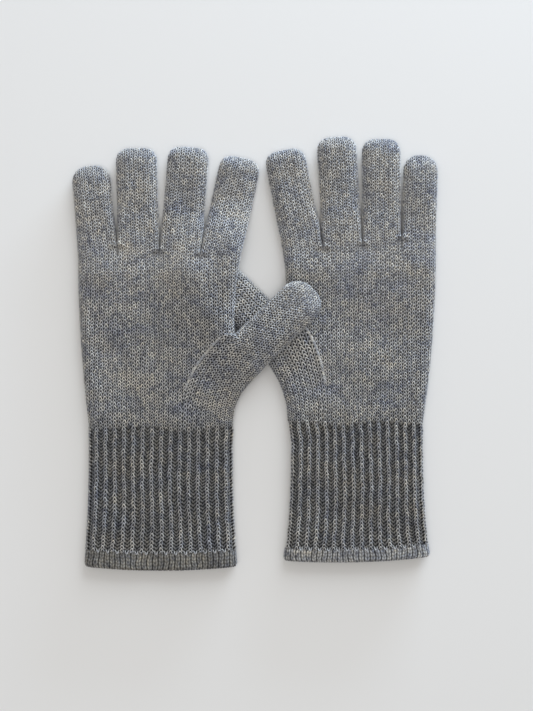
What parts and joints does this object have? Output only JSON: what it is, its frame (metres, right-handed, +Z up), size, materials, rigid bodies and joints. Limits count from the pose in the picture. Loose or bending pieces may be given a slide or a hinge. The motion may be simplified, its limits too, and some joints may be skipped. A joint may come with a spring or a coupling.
{
  "type": "pair of knitted gloves",
  "caption": "Pair of full-finger knitted gloves laid flat with crossed thumbs: plain knit hand and fingers, thumb gusset, long ribbed cuff and hem.",
  "frame": {"origin": "centre of the underside of the pair as it lies flat", "axes": "+X to the right-hand glove, +Y to the fingertips, +Z up off the table"},
  "size_m": [0.2263, 0.2684, 0.0164],
  "materials": {
    "stocking_knit": "grey marled wool-blend yarn in plain knit, matt with a soft fuzz",
    "rib_knit": "the same yarn in one-by-one rib, darker in the recesses",
    "hem_knit": "the same yarn in a fine doubled welt",
    "ridge_stitches": "picked-up stitches of the same yarn, slightly lighter"
  },
  "bodies": {
    "left_hand": {"left_hand": "stocking_knit", "left_thumb_gusset": "stocking_knit", "left_gusset_ridge": "ridge_stitches", "left_crotch_joins": "ridge_stitches"},
    "left_cuff": {"left_cuff": "rib_knit", "left_hem": "hem_knit"},
    "left_thumb": {"left_thumb": "stocking_knit"},
    "left_index_finger": {"left_index_finger": "stocking_knit"},
    "left_middle_finger": {"left_middle_finger": "stocking_knit"},
    "left_ring_finger": {"left_ring_finger": "stocking_knit"},
    "left_little_finger": {"left_little_finger": "stocking_knit"},
    "right_hand": {"right_hand": "stocking_knit", "right_thumb_gusset": "stocking_knit", "right_gusset_ridge": "ridge_stitches", "right_crotch_joins": "ridge_stitches"},
    "right_cuff": {"right_cuff": "rib_knit", "right_hem": "hem_knit"},
    "right_thumb": {"right_thumb": "stocking_knit"},
    "right_index_finger": {"right_index_finger": "stocking_knit"},
    "right_middle_finger": {"right_middle_finger": "stocking_knit"},
    "right_ring_finger": {"right_ring_finger": "stocking_knit"},
    "right_little_finger": {"right_little_finger": "stocking_knit"}
  },
  "joints": [
    {"name": "left_glove_lifts_off", "type": "slide", "parent": "right_hand", "child": "left_hand", "axis": [0, 0, 1], "range_m": [0, 0.12]},
    {"name": "left_index_finger_bend", "type": "hinge", "parent": "left_hand", "child": "left_index_finger", "pos_m": [-0.0206, 0.0604, 0.0164], "axis": [1, 0, 0], "range_deg": [0, 80]},
    {"name": "left_middle_finger_bend", "type": "hinge", "parent": "left_hand", "child": "left_middle_finger", "pos_m": [-0.0461, 0.0604, 0.0137], "axis": [1, 0, 0], "range_deg": [0, 80]},
    {"name": "left_ring_finger_bend", "type": "hinge", "parent": "left_hand", "child": "left_ring_finger", "pos_m": [-0.0718, 0.0604, 0.008], "axis": [1, 0, 0], "range_deg": [0, 80]},
    {"name": "left_little_finger_bend", "type": "hinge", "parent": "left_hand", "child": "left_little_finger", "pos_m": [-0.097, 0.0604, 0.008], "axis": [1, 0, 0], "range_deg": [0, 80]},
    {"name": "left_cuff_fold", "type": "hinge", "parent": "left_hand", "child": "left_cuff", "pos_m": [-0.0582, -0.0465, 0.008], "axis": [-1, 0, 0], "range_deg": [0, 60]},
    {"name": "right_index_finger_bend", "type": "hinge", "parent": "right_hand", "child": "right_index_finger", "pos_m": [0.03, 0.0648, 0.008], "axis": [1, 0, 0], "range_deg": [0, 80]},
    {"name": "right_middle_finger_bend", "type": "hinge", "parent": "right_hand", "child": "right_middle_finger", "pos_m": [0.0547, 0.0648, 0.008], "axis": [1, 0, 0], "range_deg": [0, 80]},
    {"name": "right_ring_finger_bend", "type": "hinge", "parent": "right_hand", "child": "right_ring_finger", "pos_m": [0.0789, 0.0648, 0.008], "axis": [1, 0, 0], "range_deg": [0, 80]},
    {"name": "right_little_finger_bend", "type": "hinge", "parent": "right_hand", "child": "right_little_finger", "pos_m": [0.1018, 0.0648, 0.008], "axis": [1, 0, 0], "range_deg": [0, 80]},
    {"name": "right_cuff_fold", "type": "hinge", "parent": "right_hand", "child": "right_cuff", "pos_m": [0.0633, -0.0435, 0.008], "axis": [-1, 0, 0], "range_deg": [0, 60]},
    {"name": "left_thumb_lift", "type": "hinge", "parent": "left_hand", "child": "left_thumb", "pos_m": [-0.00251, 0.00217, 0.0164], "axis": [0.6947, -0.7193, 0], "range_deg": [0, 60]},
    {"name": "right_thumb_slide_under", "type": "hinge", "parent": "right_hand", "child": "right_thumb", "pos_m": [0.0195, 0.0233, 0.004], "axis": [0, 0, 1], "range_deg": [-10, 0]}
  ]
}
